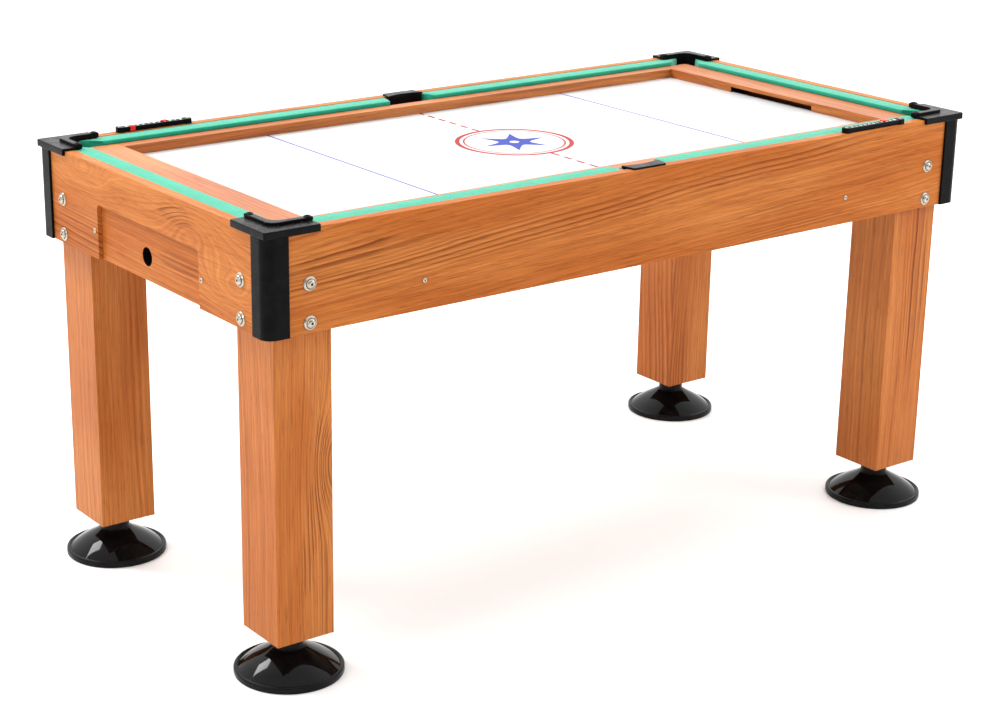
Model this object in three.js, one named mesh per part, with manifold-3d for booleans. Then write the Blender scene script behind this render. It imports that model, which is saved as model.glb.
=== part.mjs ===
// Pool-frame hockey table: a rail frame on four box legs, with a lift-out hockey field.
// Units are millimetres, +Z is up, X runs along the table and Y across it.
// The origin is on the floor under the middle of the table.

import * as THREE from 'three';
import { mergeVertices } from 'three/addons/utils/BufferGeometryUtils.js';
import Module from 'manifold-3d';

const wasm = await Module();
wasm.setup();

// ---------- driving dimensions ----------

const LENGTH = 1520;            // over the outer faces of the end aprons
const WIDTH = 756;              // over the outer faces of the side aprons
const RAIL_TOP = 769;           // top of the wooden rails above the floor
const APRON_HEIGHT = 167;
const APRON_T = 22;             // thickness of an apron board
const GAP = 0.3;                // clearance between neighbouring pieces

const STRIP = 19.5;             // width of bare wood on top of a rail
const REBATE_DEPTH = 8;         // step that the cushion's top edge sits in
const NOSE = 55;                // cushion nose, from the apron's outer face
const CORNER_NOSE = 93;         // where a cushion's nose ends at a corner pocket
const CORNER_FLARE = 1.35;      // how fast a cushion's end slants at a corner pocket
const SIDE_NOSE = 51;           // where a cushion's nose ends at a side pocket
const SIDE_FLARE = 0.28;

const BED_DROP = 38;            // bed surface below the rail top
const BED_T = 15;
const CORNER_POCKET_R = 65.2;   // bed cut-out, centred on the bed's corner
const SIDE_POCKET_R = 44;

const INSERT_EDGE = 57;         // hockey field's outline, from the apron's outer face
const INSERT_DROP = 8;          // its top below the rail top
const FIELD_DROP = 18;          // playing surface below the top of its border
const FIELD_T = 4;
const SIDE_BORDER = 26;
const END_BORDER = 63;
const GROOVE = 6;               // depth of the groove that holds the playing surface
const GOAL_WIDTH = 226;
const GOAL_HEIGHT = 10.5;

const LEG_WIDTH = 107;
const LEG_WALL = 15;
const LEG_BOTTOM = 74;
const LEG_PLUG = 30;            // solid block that closes the foot of a leg
const BOLT_INSET = 77;          // leg bolts, from the end of the rail
const BOLT_DROPS = [88, 150.5]; // leg bolts, below the rail top
const BOLT_R = 4;
const HOLE_PLAY = 0.4;

const FOOT_R = 91.5;
const NECK_R = 25;
const STEM_R = 6;
const STEM_BASE = 40;

const CAP_OVERHANG = 6;
const CAP_T = 5;
const CAP_ARM = 94;             // length of a cap's arm along the rail
const MOUTH = 32;               // pocket edge, from the apron's outer face
const MOUTH_R = 20;
const BAND = 12;                // width of the raised band round the mouth
const LINER_T = 3;
const POST_FLANGE = 38;
const POST_PROUD = 4.6;
const POST_R = 20;

const BEAM_X = 469;             // cross beams under the bed
const BEAM_T = 22;
const BEAM_HEIGHT = 80;
const CLEAT_HEIGHT = 25;
const BATTEN_Y = 110;           // strips that carry the middle of the playing surface
const BATTEN_WIDTH = 24;
const FAN_SIZE = 120;
const FAN_DEPTH = 38;
const FAN_BORE = 57;

const COUNTER_X = 540;          // middle of a score counter, along its rail
const COUNTER_LENGTH = 152;
const COUNTER_INSET = 9.5;      // its centre line, from the apron's outer face
const COUNTER_BODY = 124;       // stretch between its two end blocks

const APRON_BOTTOM = RAIL_TOP - APRON_HEIGHT;
const BED_TOP = RAIL_TOP - BED_DROP;
const BED_BOTTOM = BED_TOP - BED_T;
const INSERT_TOP = RAIL_TOP - INSERT_DROP;
const FIELD_TOP = INSERT_TOP - FIELD_DROP;
const FIELD_BOTTOM = FIELD_TOP - FIELD_T;
const LEG_TOP = BED_BOTTOM - GAP;
const BEAM_TOP = BED_BOTTOM - GAP;
const LEG_INSET = APRON_T + GAP;
const LEG_CENTRE = LEG_INSET + LEG_WIDTH / 2;

// ---------- finishes ----------

const wood = () => new THREE.MeshStandardMaterial({ color: 0xc9763a, roughness: 0.5 });
const rawBoard = () => new THREE.MeshStandardMaterial({ color: 0xb08b62, roughness: 0.85 });
const blackPlastic = () => new THREE.MeshStandardMaterial({ color: 0x1b1b1d, roughness: 0.6 });
const glossBlack = () => new THREE.MeshStandardMaterial({ color: 0x0a0a0b, roughness: 0.12 });
const greenCloth = () => new THREE.MeshStandardMaterial({ color: 0x12a877, roughness: 0.95 });
const whiteField = () => new THREE.MeshStandardMaterial({ color: 0xf4f4f2, roughness: 0.3 });
const nickel = () => new THREE.MeshStandardMaterial({ color: 0xc9c3b6, roughness: 0.25, metalness: 1 });
const redPlastic = () => new THREE.MeshStandardMaterial({ color: 0xd3202a, roughness: 0.35 });

// ---------- solids ----------

const X_AXIS = new THREE.Vector3(1, 0, 0);
const Y_AXIS = new THREE.Vector3(0, 1, 0);
const Z_AXIS = new THREE.Vector3(0, 0, 1);

function solid(geometry) {
  const bare = geometry.clone();
  bare.deleteAttribute('normal');
  bare.deleteAttribute('uv');
  const merged = mergeVertices(bare, 1e-4);
  return new wasm.Manifold(new wasm.Mesh({
    numProp: 3,
    vertProperties: new Float32Array(merged.attributes.position.array),
    triVerts: new Uint32Array(merged.index.array),
  }));
}

function geometryOf(manifold) {
  const mesh = manifold.getMesh();
  const geometry = new THREE.BufferGeometry();
  geometry.setAttribute('position', new THREE.BufferAttribute(mesh.vertProperties, 3));
  geometry.setIndex(new THREE.BufferAttribute(mesh.triVerts, 1));
  return geometry;
}

function join(...geometries) {
  return geometryOf(geometries.map(solid).reduce((whole, next) => whole.add(next)));
}

function cut(body, ...tools) {
  return geometryOf(tools.map(solid).reduce((rest, tool) => rest.subtract(tool), solid(body)));
}

// A box between two corners.
function box(x0, y0, z0, x1, y1, z1) {
  const geometry = new THREE.BoxGeometry(x1 - x0, y1 - y0, z1 - z0);
  return geometry.translate((x0 + x1) / 2, (y0 + y1) / 2, (z0 + z1) / 2);
}

function outline(points) {
  return new THREE.Shape(points.map(([x, y]) => new THREE.Vector2(x, y)));
}

// An XY outline raised from z0 to z1.
function slab(shape, z0, z1, curveSegments = 6) {
  const options = { depth: z1 - z0, bevelEnabled: false, curveSegments };
  return new THREE.ExtrudeGeometry(shape, options).translate(0, 0, z0);
}

// A (Y, Z) outline run along X.
function run(shape, x0, x1) {
  const options = { depth: x1 - x0, bevelEnabled: false, curveSegments: 4 };
  const turn = new THREE.Matrix4().makeBasis(Y_AXIS, Z_AXIS, X_AXIS);
  return new THREE.ExtrudeGeometry(shape, options).applyMatrix4(turn).translate(x0, 0, 0);
}

// A lathed (radius, height) profile about Z.
function turned(profile, segments) {
  const points = profile.map(([r, z]) => new THREE.Vector2(r, z));
  return new THREE.LatheGeometry(points, segments).rotateX(Math.PI / 2);
}

// A round bar along Y, used for the holes of the leg bolts.
function pinAlongY(radius, x, z, y0, y1) {
  const pin = new THREE.CylinderGeometry(radius, radius, y1 - y0, 10);
  return pin.translate(x, (y0 + y1) / 2, z);
}

const table = new THREE.Group();

function place(group, name, geometry, material) {
  const mesh = new THREE.Mesh(geometry, material);
  mesh.name = name;
  group.add(mesh);
  return mesh;
}

// ---------- frames of reference ----------

// Rail frame: X along the rail, +Y inwards from the apron's outer face.
const RAILS = [
  { name: 'front', x: 0, y: -WIDTH / 2, turns: 0, half: LENGTH / 2 },
  { name: 'right', x: LENGTH / 2, y: 0, turns: 1, half: WIDTH / 2 },
  { name: 'back', x: 0, y: WIDTH / 2, turns: 2, half: LENGTH / 2 },
  { name: 'left', x: -LENGTH / 2, y: 0, turns: 3, half: WIDTH / 2 },
];

// Corner frame: origin where two outer faces meet, +X and +Y along the two rails.
const CORNERS = [
  { name: 'front_left', x: -LENGTH / 2, y: -WIDTH / 2, turns: 0 },
  { name: 'front_right', x: LENGTH / 2, y: -WIDTH / 2, turns: 1 },
  { name: 'back_right', x: LENGTH / 2, y: WIDTH / 2, turns: 2 },
  { name: 'back_left', x: -LENGTH / 2, y: WIDTH / 2, turns: 3 },
];

function frameAt({ x, y, turns }) {
  const group = new THREE.Group();
  group.position.set(x, y, 0);
  group.rotation.z = turns * Math.PI / 2;
  table.add(group);
  return group;
}

// ---------- rail frame pieces ----------

function apronBoard(half) {
  const section = outline([
    [0, APRON_BOTTOM], [APRON_T, APRON_BOTTOM],
    [APRON_T, RAIL_TOP - REBATE_DEPTH], [STRIP, RAIL_TOP - REBATE_DEPTH],
    [STRIP, RAIL_TOP], [0, RAIL_TOP],
  ]);
  const reach = half - APRON_T - GAP;
  const board = run(section, -reach, reach);
  const holes = [-1, 1].flatMap((end) => BOLT_DROPS.map((drop) => (
    pinAlongY(BOLT_R + HOLE_PLAY, end * (half - BOLT_INSET), RAIL_TOP - drop, -5, APRON_T + 5)
  )));
  return cut(board, ...holes);
}

// Opening in the left apron: its outer lip is thin, and a panel closes it from behind.
const NOTCH = { half: 172, height: 97, radius: 8, lip: 8 };
const PANEL = { half: 196, height: 109, hole: 16, holeX: -13, holeHeight: 41 };

function notchShape() {
  const { half, height, radius } = NOTCH;
  const top = APRON_BOTTOM + height;
  const shape = new THREE.Shape();
  shape.moveTo(-half, APRON_BOTTOM - 5);
  shape.lineTo(half, APRON_BOTTOM - 5);
  shape.lineTo(half, top - radius);
  shape.absarc(half - radius, top - radius, radius, 0, Math.PI / 2);
  shape.absarc(radius - half, top - radius, radius, Math.PI / 2, Math.PI);
  return shape;
}

// An (X, Z) outline of the rail frame, run inwards from y0 to y1.
function throughRail(shape, y0, y1, curveSegments = 4) {
  const options = { depth: y1 - y0, bevelEnabled: false, curveSegments };
  return new THREE.ExtrudeGeometry(shape, options).rotateX(Math.PI / 2).translate(0, y1, 0);
}

function notchedApron(half) {
  const rebate = box(-PANEL.half - GAP, NOTCH.lip, APRON_BOTTOM - 5,
    PANEL.half + GAP, APRON_T + 5, APRON_BOTTOM + PANEL.height + GAP);
  return cut(apronBoard(half), throughRail(notchShape(), -5, APRON_T + 5), rebate);
}

function notchPanel() {
  const { half, height, hole, holeX, holeHeight } = PANEL;
  const shape = outline([
    [-half, APRON_BOTTOM], [half, APRON_BOTTOM],
    [half, APRON_BOTTOM + height], [-half, APRON_BOTTOM + height],
  ]);
  const opening = new THREE.Path();
  opening.absarc(holeX, APRON_BOTTOM + holeHeight, hole, 0, 2 * Math.PI, true);
  shape.holes.push(opening);
  return throughRail(shape, NOTCH.lip + GAP, APRON_T, 10);
}

// Closed black cup behind the panel's hole: the hole reads dark, so nothing shows through it.
const HOLE_CUP = { flangeR: 25, outerR: 20, innerR: 17.5, depth: 38, wall: 2 };

function holeCup() {
  const { flangeR, outerR, innerR, depth, wall } = HOLE_CUP;
  const profile = [
    [0, depth - wall], [innerR, depth - wall], [innerR, 0], [flangeR, 0], [flangeR, wall],
    [outerR, wall], [outerR, depth], [0, depth],
  ];
  const seat = [PANEL.holeX, APRON_T + GAP, APRON_BOTTOM + PANEL.holeHeight];
  return turned(profile, 24).rotateX(-Math.PI / 2).translate(...seat);
}

const CUSHION_BACK = STRIP + GAP;

function cushionSection() {
  return outline([
    [CUSHION_BACK, RAIL_TOP - REBATE_DEPTH + GAP], [APRON_T + GAP, RAIL_TOP - REBATE_DEPTH + GAP],
    [APRON_T + GAP, BED_TOP + GAP], [36, BED_TOP + GAP], [50, RAIL_TOP - 15],
    [NOSE, RAIL_TOP - 6], [NOSE, RAIL_TOP - 2.5], [NOSE - 3, RAIL_TOP - GAP],
    [CUSHION_BACK, RAIL_TOP - GAP],
  ]);
}

// A cushion whose nose runs from x0 to x1; each end slants back towards the rail.
function cushion(x0, x1, flare0, flare1) {
  const geometry = run(cushionSection(), x0, x1);
  const places = geometry.attributes.position;
  const middle = (x0 + x1) / 2;
  for (let i = 0; i < places.count; i += 1) {
    const behindNose = NOSE - places.getY(i);
    const atStart = places.getX(i) < middle;
    places.setX(i, atStart ? x0 - flare0 * behindNose : x1 + flare1 * behindNose);
  }
  return geometry;
}

function addRail(rail) {
  const group = frameAt(rail);
  const { name, half } = rail;
  const board = name === 'left' ? notchedApron(half) : apronBoard(half);
  place(group, `apron_${name}`, board, wood());
  const far = half - CORNER_NOSE;
  if (name === 'front' || name === 'back') {
    const first = cushion(-far, -SIDE_NOSE, CORNER_FLARE, SIDE_FLARE);
    const second = cushion(SIDE_NOSE, far, SIDE_FLARE, CORNER_FLARE);
    place(group, `cushion_${name}_a`, first, greenCloth());
    place(group, `cushion_${name}_b`, second, greenCloth());
    place(group, `side_pocket_${name}`, sidePocket(), blackPlastic());
    place(group, `bed_cleat_${name}_a`, bedCleat(-1), rawBoard());
    place(group, `bed_cleat_${name}_b`, bedCleat(1), rawBoard());
    addCounter(group, name);
  } else {
    place(group, `cushion_${name}`, cushion(-far, far, CORNER_FLARE, CORNER_FLARE), greenCloth());
  }
  if (name === 'left') {
    place(group, 'end_panel', notchPanel(), wood());
    place(group, 'hole_cup', holeCup(), blackPlastic());
  }
}

// ---------- pockets ----------

const SIDE_MOUTH = { half: 38, deep: 25, plateT: 3.5, cupDepth: 76, cupR: 43 };

// Arc of a side pocket's mouth, shifted outwards by the given amount.
function mouthArc(path, shift, backwards) {
  const { half, deep } = SIDE_MOUTH;
  const rise = MOUTH - deep;
  const radius = (half * half + rise * rise) / (2 * rise);
  const reach = Math.asin(half / radius);
  const down = -Math.PI / 2;
  const [from, to] = backwards ? [down + reach, down - reach] : [down - reach, down + reach];
  path.absarc(0, deep + radius - shift, radius, from, to, backwards);
}

function sidePocket() {
  const { plateT, cupDepth, cupR, half } = SIDE_MOUTH;
  const plate = outline([[-35, 4], [35, 4], [41, MOUTH]]);
  mouthArc(plate, 0, true);
  plate.lineTo(-41, MOUTH);

  const liner = new THREE.Shape();
  liner.moveTo(-half, MOUTH - 2.5);
  mouthArc(liner, 2.5, false);
  liner.lineTo(half, MOUTH);
  mouthArc(liner, 0, true);

  const base = RAIL_TOP - cupDepth;
  const back = APRON_T + 0.5;
  const wall = halfDisc(cupR, back);
  wall.holes.push(halfDisc(cupR - LINER_T, back + LINER_T));
  return join(
    slab(plate, RAIL_TOP, RAIL_TOP + plateT),
    slab(liner, base + 1, RAIL_TOP + 1),
    slab(wall, base, BED_TOP - GAP),
    slab(halfDisc(cupR, back), base, base + LINER_T),
  );
}

function halfDisc(radius, back) {
  const shape = new THREE.Shape();
  const start = Math.asin((back - APRON_T - 0.5) / radius);
  shape.absarc(0, APRON_T + 0.5, radius, start, Math.PI - start);
  return shape;
}

// L-shaped region between two outlines that follow the corner at different offsets.
function cornerBand(outer, outerR, inner, innerR, arm) {
  const shape = new THREE.Shape();
  shape.moveTo(arm, outer);
  if (outerR > 0) {
    shape.absarc(outer + outerR, outer + outerR, outerR, -Math.PI / 2, Math.PI, true);
  } else {
    shape.lineTo(outer, outer);
  }
  shape.lineTo(outer, arm);
  shape.lineTo(inner, arm);
  if (innerR > 0) {
    shape.absarc(inner + innerR, inner + innerR, innerR, Math.PI, 1.5 * Math.PI, false);
  } else {
    shape.lineTo(inner, inner);
  }
  shape.lineTo(arm, inner);
  return shape;
}

const LINER_ARM = 56;
const CUP_REACH = 84;

// Region of a corner cup: two straight sides with a rounded corner, closed by an arc.
function cupShape(side, cornerR, reach) {
  const centre = MOUTH - LINER_T;
  const radius = reach - centre;
  const start = Math.asin((side - centre) / radius);
  const shape = new THREE.Shape();
  shape.absarc(centre, centre, radius, start, Math.PI / 2 - start);
  shape.absarc(side + cornerR, side + cornerR, cornerR, Math.PI, 1.5 * Math.PI);
  return shape;
}

function cornerCap() {
  const outside = -CAP_OVERHANG;
  const plate = cornerBand(outside, 0, MOUTH, MOUTH_R, CAP_ARM);
  const band = cornerBand(MOUTH - BAND, 16, MOUTH, MOUTH_R, CAP_ARM + 3);
  const lip = cornerBand(outside, 0, -GAP, 0, CAP_ARM);
  const liner = cornerBand(MOUTH - LINER_T, MOUTH_R + LINER_T, MOUTH, MOUTH_R, LINER_ARM);
  const cupWall = cupShape(MOUTH - LINER_T, MOUTH_R + LINER_T, CUP_REACH);
  cupWall.holes.push(cupShape(MOUTH, MOUTH_R, CUP_REACH - LINER_T));
  const cupFloor = cupShape(MOUTH - LINER_T, MOUTH_R + LINER_T, CUP_REACH);
  return join(
    slab(plate, RAIL_TOP, RAIL_TOP + CAP_T),
    slab(band, RAIL_TOP + 0.5, RAIL_TOP + 2 * CAP_T),
    slab(lip, RAIL_TOP - 7, RAIL_TOP + 1),
    slab(liner, BED_BOTTOM + 1, RAIL_TOP + 1),
    slab(cupWall, BED_BOTTOM, BED_TOP - GAP),
    slab(cupFloor, BED_BOTTOM, BED_BOTTOM + LINER_T),
  );
}

// ---------- corner pieces ----------

function cornerPost() {
  const out = -POST_PROUD;
  const shape = new THREE.Shape();
  shape.moveTo(POST_FLANGE, out);
  shape.lineTo(POST_FLANGE, -GAP);
  shape.lineTo(APRON_T, -GAP);
  shape.lineTo(APRON_T, APRON_T);
  shape.lineTo(-GAP, APRON_T);
  shape.lineTo(-GAP, POST_FLANGE);
  shape.lineTo(out, POST_FLANGE);
  shape.absarc(out + POST_R, out + POST_R, POST_R, Math.PI, 1.5 * Math.PI);
  const hollow = new THREE.Path();
  hollow.absarc(12, 12, 7, 0, 2 * Math.PI, true);
  shape.holes.push(hollow);
  return slab(shape, APRON_BOTTOM, RAIL_TOP - 7 - GAP, 5);
}

function leg() {
  const inner = LEG_INSET + LEG_WALL;
  const far = LEG_INSET + LEG_WIDTH;
  const shaftEnd = inner + 5;
  const hollow = box(inner, inner, LEG_BOTTOM + LEG_PLUG, far - LEG_WALL, far - LEG_WALL, LEG_TOP + 5);
  const stemHole = turned([[0, LEG_BOTTOM - 5], [STEM_R + HOLE_PLAY, LEG_BOTTOM - 5],
    [STEM_R + HOLE_PLAY, LEG_BOTTOM + LEG_PLUG + 5], [0, LEG_BOTTOM + LEG_PLUG + 5]], 16);
  stemHole.translate(LEG_CENTRE, LEG_CENTRE, 0);
  const holes = BOLT_DROPS.flatMap((drop) => {
    const hole = pinAlongY(BOLT_R + HOLE_PLAY, BOLT_INSET, RAIL_TOP - drop, LEG_INSET - 5, shaftEnd);
    return [hole, mirroredAcrossDiagonal(hole)];
  });
  return cut(box(LEG_INSET, LEG_INSET, LEG_BOTTOM, far, far, LEG_TOP), hollow, stemHole, ...holes);
}

// The same solid with its X and Y swapped, wound the right way round again.
function mirroredAcrossDiagonal(geometry) {
  const swapped = geometry.clone().applyMatrix4(new THREE.Matrix4().makeBasis(Y_AXIS, X_AXIS, Z_AXIS));
  const index = swapped.index.array;
  for (let i = 0; i < index.length; i += 3) {
    [index[i], index[i + 1]] = [index[i + 1], index[i]];
  }
  return swapped;
}

// A leg bolt: washer, low domed head and shaft, pointing inwards along +Y.
function legBolt(drop) {
  const profile = [
    [0, -6.2], [6.5, -6.2], [10.4, -3.6], [12, -1.8], [12, -0.2], [BOLT_R, -0.2],
    [BOLT_R, LEG_INSET + LEG_WALL + 9], [0, LEG_INSET + LEG_WALL + 9],
  ];
  const points = profile.map(([r, along]) => new THREE.Vector2(r, along));
  return new THREE.LatheGeometry(points, 10).translate(BOLT_INSET, 0, RAIL_TOP - drop);
}

// Nut bracket inside the leg with its four bolts.
function legFixing() {
  const near = LEG_INSET + LEG_WALL + GAP;
  const low = RAIL_TOP - BOLT_DROPS[1] - 18;
  const high = RAIL_TOP - BOLT_DROPS[0] + 18;
  const bracket = slab(cornerBand(near, 0, near + 3, 0, BOLT_INSET + 18), low, high);
  const bolts = BOLT_DROPS.flatMap((drop) => {
    const bolt = legBolt(drop);
    return [bolt, mirroredAcrossDiagonal(bolt)];
  });
  return join(bracket, ...bolts);
}

function foot() {
  const profile = [
    [0, 0], [89.5, 0], [FOOT_R, 2], [FOOT_R, 9], [89, 11.8], [84.5, 11.8], [59, 28], [29, 44.5],
    [NECK_R, 47], [NECK_R, LEG_BOTTOM - GAP], [STEM_R + HOLE_PLAY, LEG_BOTTOM - GAP],
    [STEM_R + HOLE_PLAY, STEM_BASE], [0, STEM_BASE],
  ];
  return turned(profile, 20).translate(LEG_CENTRE, LEG_CENTRE, 0);
}

function stem() {
  const top = LEG_BOTTOM + LEG_PLUG + 28;
  const profile = [
    [0, STEM_BASE + GAP], [STEM_R, STEM_BASE + GAP], [STEM_R, top - 1.5], [STEM_R - 1.5, top], [0, top],
  ];
  return turned(profile, 12).translate(LEG_CENTRE, LEG_CENTRE, 0);
}

function addCorner(corner) {
  const group = frameAt(corner);
  const { name } = corner;
  place(group, `corner_post_${name}`, cornerPost(), blackPlastic());
  place(group, `corner_cap_${name}`, cornerCap(), blackPlastic());
  place(group, `leg_${name}`, leg(), wood());
  place(group, `leg_bolts_${name}`, legFixing(), nickel());
  place(group, `foot_stem_${name}`, stem(), nickel());
  place(group, `foot_disc_${name}`, foot(), glossBlack());
}

// ---------- score counters ----------

const SLIDER_WIDTH = 10;
// Sliders as [rail, letter, place along the bar, side: 1 inner or -1 outer].
const SLIDERS = [
  ['back', 'inner', 47, 1],
  ['back', 'outer', -23, -1],
  ['front', 'inner', 31, 1],
];

function counterBar() {
  const section = outline([[-4.5, 0], [4.5, 0], [4.5, 3], [7, 3], [7, 9], [-7, 9], [-7, 3], [-4.5, 3]]);
  const reach = COUNTER_BODY / 2;
  const endLength = (COUNTER_LENGTH - COUNTER_BODY) / 2;
  const block = new THREE.Shape();
  block.moveTo(0, -8.5);
  block.absarc(endLength - 6, -2.5, 6, -Math.PI / 2, 0);
  block.absarc(endLength - 6, 2.5, 6, 0, Math.PI / 2);
  block.lineTo(0, 8.5);
  const right = slab(block, 0, 9.6, 3).translate(reach, 0, 0);
  const left = right.clone().rotateZ(Math.PI);
  const bar = run(section, -reach - 1, reach + 1);
  return join(bar, right, left).translate(COUNTER_X, COUNTER_INSET, RAIL_TOP);
}

// Half clip that hooks over one side of the bar.
function scoreSlider(along, side) {
  const clip = outline([
    [0.4, 9.3], [7.3, 9.3], [7.3, 2.7], [5.1, 2.7], [5.1, 1.2], [8.8, 1.2], [8.8, 10.8], [0.4, 10.8],
  ]);
  const geometry = run(clip, -SLIDER_WIDTH / 2, SLIDER_WIDTH / 2);
  if (side < 0) {
    geometry.rotateZ(Math.PI);
  }
  return geometry.translate(COUNTER_X + along, COUNTER_INSET, RAIL_TOP);
}

function addCounter(group, railName) {
  place(group, `score_bar_${railName}`, counterBar(), blackPlastic());
  for (const [rail, letter, along, side] of SLIDERS) {
    if (rail === railName) {
      place(group, `score_slider_${rail}_${letter}`, scoreSlider(along, side), redPlastic());
    }
  }
}

// ---------- bed and what carries it ----------

function bedBoard() {
  const x = LENGTH / 2 - APRON_T - GAP;
  const y = WIDTH / 2 - APRON_T - GAP;
  const turn = Math.PI / 2;
  const shape = new THREE.Shape();
  shape.absarc(-x, -y, CORNER_POCKET_R, turn, 0, true);
  shape.absarc(0, -y, SIDE_POCKET_R, 2 * turn, 0, true);
  shape.absarc(x, -y, CORNER_POCKET_R, 2 * turn, turn, true);
  shape.absarc(x, y, CORNER_POCKET_R, 3 * turn, 2 * turn, true);
  shape.absarc(0, y, SIDE_POCKET_R, 4 * turn, 2 * turn, true);
  shape.absarc(-x, y, CORNER_POCKET_R, 4 * turn, 3 * turn, true);
  const port = new THREE.Path();
  port.absarc(0, 0, FAN_BORE, 0, 2 * Math.PI, true);
  shape.holes.push(port);
  return slab(shape, BED_BOTTOM, BED_TOP, 12);
}

function addBedFrame() {
  place(table, 'bed_board', bedBoard(), rawBoard());
  const reach = WIDTH / 2 - APRON_T - GAP;
  const half = BEAM_T / 2;
  for (const [name, side] of [['left', -1], ['right', 1]]) {
    const x = side * BEAM_X;
    const beam = box(x - half, -reach, BEAM_TOP - BEAM_HEIGHT, x + half, reach, BEAM_TOP);
    place(table, `cross_beam_${name}`, beam, rawBoard());
  }
}

// Strip under the bed along a side apron, from the side pocket's cup to a cross beam.
function bedCleat(end) {
  const near = end * (SIDE_POCKET_R + 2);
  const far = end * (BEAM_X - BEAM_T / 2 - GAP);
  const back = APRON_T + GAP;
  return box(Math.min(near, far), back, BEAM_TOP - CLEAT_HEIGHT, Math.max(near, far), back + 20, BEAM_TOP);
}

// ---------- fan under the bed ----------

const FAN_TOP = BED_BOTTOM - GAP;
const FAN_BASE = FAN_TOP - FAN_DEPTH;
const HUB_R = 21;

function fanFrame() {
  const half = FAN_SIZE / 2;
  const body = outline([[-half, -half], [half, -half], [half, half], [-half, half]]);
  const bore = new THREE.Path();
  bore.absarc(0, 0, FAN_BORE, 0, 2 * Math.PI, true);
  body.holes.push(bore);
  const hub = turned([[0, FAN_BASE], [HUB_R, FAN_BASE], [HUB_R, FAN_BASE + 3], [0, FAN_BASE + 3]], 16);
  const axle = turned([[0, FAN_BASE + 1], [4, FAN_BASE + 1], [4, FAN_BASE + 14], [0, FAN_BASE + 14]], 12);
  const strut = box(-FAN_BORE - 1, -3, FAN_BASE, FAN_BORE + 1, 3, FAN_BASE + 3);
  const crossed = strut.clone().rotateZ(Math.PI / 2);
  return join(slab(body, FAN_BASE, FAN_TOP, 8), hub, axle, strut, crossed);
}

function fanImpeller() {
  const low = FAN_BASE + 4;
  const high = FAN_TOP - 2;
  const hub = turned([
    [0, low + 11], [4.3, low + 11], [4.3, low], [HUB_R, low], [HUB_R, high], [0, high],
  ], 16);
  const blades = [];
  const count = 5;
  for (let i = 0; i < count; i += 1) {
    const blade = new THREE.BoxGeometry(36, 26, 1.6).rotateX(Math.PI / 4);
    blade.translate(HUB_R - 2 + 18, 0, (low + high) / 2);
    blades.push(blade.rotateZ(i * 2 * Math.PI / count));
  }
  return join(hub, ...blades);
}

function fanGuard() {
  const rings = [[57, 54.5], [41, 38.5], [25, 22.5]];
  const low = FAN_BASE - GAP - 2;
  const hoops = rings.map(([outer, inner]) => turned([
    [inner, low], [outer, low], [outer, low + 2], [inner, low + 2], [inner, low],
  ], 20));
  const arm = box(-56, -1.5, low, 56, 1.5, low + 2);
  const arms = [arm.clone().rotateZ(Math.PI / 4), arm.clone().rotateZ(-Math.PI / 4)];
  return join(...hoops, ...arms);
}

// ---------- lift-out hockey field ----------

const FIELD_X = LENGTH / 2 - INSERT_EDGE - END_BORDER + GROOVE - GAP;
const FIELD_Y = WIDTH / 2 - INSERT_EDGE - SIDE_BORDER + GROOVE - GAP;
const INSERT_BASE = BED_TOP + GAP;

function sideBorder() {
  const outer = INSERT_EDGE;
  const inner = outer + SIDE_BORDER;
  const reach = LENGTH / 2 - INSERT_EDGE - END_BORDER - GAP;
  const section = outline([
    [outer, INSERT_BASE], [inner, INSERT_BASE], [inner, FIELD_BOTTOM - GAP],
    [inner - GROOVE, FIELD_BOTTOM - GAP], [inner - GROOVE, FIELD_TOP + GAP],
    [inner, FIELD_TOP + GAP], [inner, INSERT_TOP], [outer, INSERT_TOP],
  ]);
  return run(section, -reach, reach);
}

function endBorder() {
  const outer = INSERT_EDGE;
  const inner = outer + END_BORDER;
  const reach = WIDTH / 2 - INSERT_EDGE;
  const goal = GOAL_WIDTH / 2;
  const groove = FIELD_Y + GAP;
  return cut(
    box(-reach, outer, INSERT_BASE, reach, inner, INSERT_TOP),
    box(-groove, inner - GROOVE, FIELD_BOTTOM - GAP, groove, inner + 5, FIELD_TOP + GAP),
    box(-goal, outer + 9, FIELD_BOTTOM - 4, goal, inner - 8, FIELD_TOP + GOAL_HEIGHT),
    box(-goal, inner - 9, FIELD_TOP, goal, inner + 5, FIELD_TOP + GOAL_HEIGHT),
  );
}

function addHockeyField() {
  for (const rail of RAILS) {
    const isEnd = rail.name === 'left' || rail.name === 'right';
    const border = isEnd ? endBorder() : sideBorder();
    place(frameAt(rail), `field_border_${rail.name}`, border, wood());
  }
  const field = box(-FIELD_X, -FIELD_Y, FIELD_BOTTOM, FIELD_X, FIELD_Y, FIELD_TOP);
  place(table, 'play_field', field, whiteField());
  const reach = FIELD_X - 45;
  const half = BATTEN_WIDTH / 2;
  for (const [name, side] of [['front', -1], ['back', 1]]) {
    const y = side * BATTEN_Y;
    const batten = box(-reach, y - half, INSERT_BASE, reach, y + half, FIELD_BOTTOM);
    place(table, `field_batten_${name}`, batten, rawBoard());
  }
}

// ---------- the whole table ----------

RAILS.forEach(addRail);
CORNERS.forEach(addCorner);
addBedFrame();
place(table, 'fan_frame', fanFrame(), blackPlastic());
place(table, 'fan_impeller', fanImpeller(), blackPlastic());
place(table, 'fan_guard', fanGuard(), nickel());
addHockeyField();

export default table;
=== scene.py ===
"""Looks of a pool-frame hockey table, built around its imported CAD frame.

Everything is in the table's own frame: metres, +Z up, X along the table, floor at Z 0.
Lengths are written in millimetres and turned into metres by MM.
"""

import math

import bmesh
import bpy
from mathutils import Matrix, Vector, noise


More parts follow.
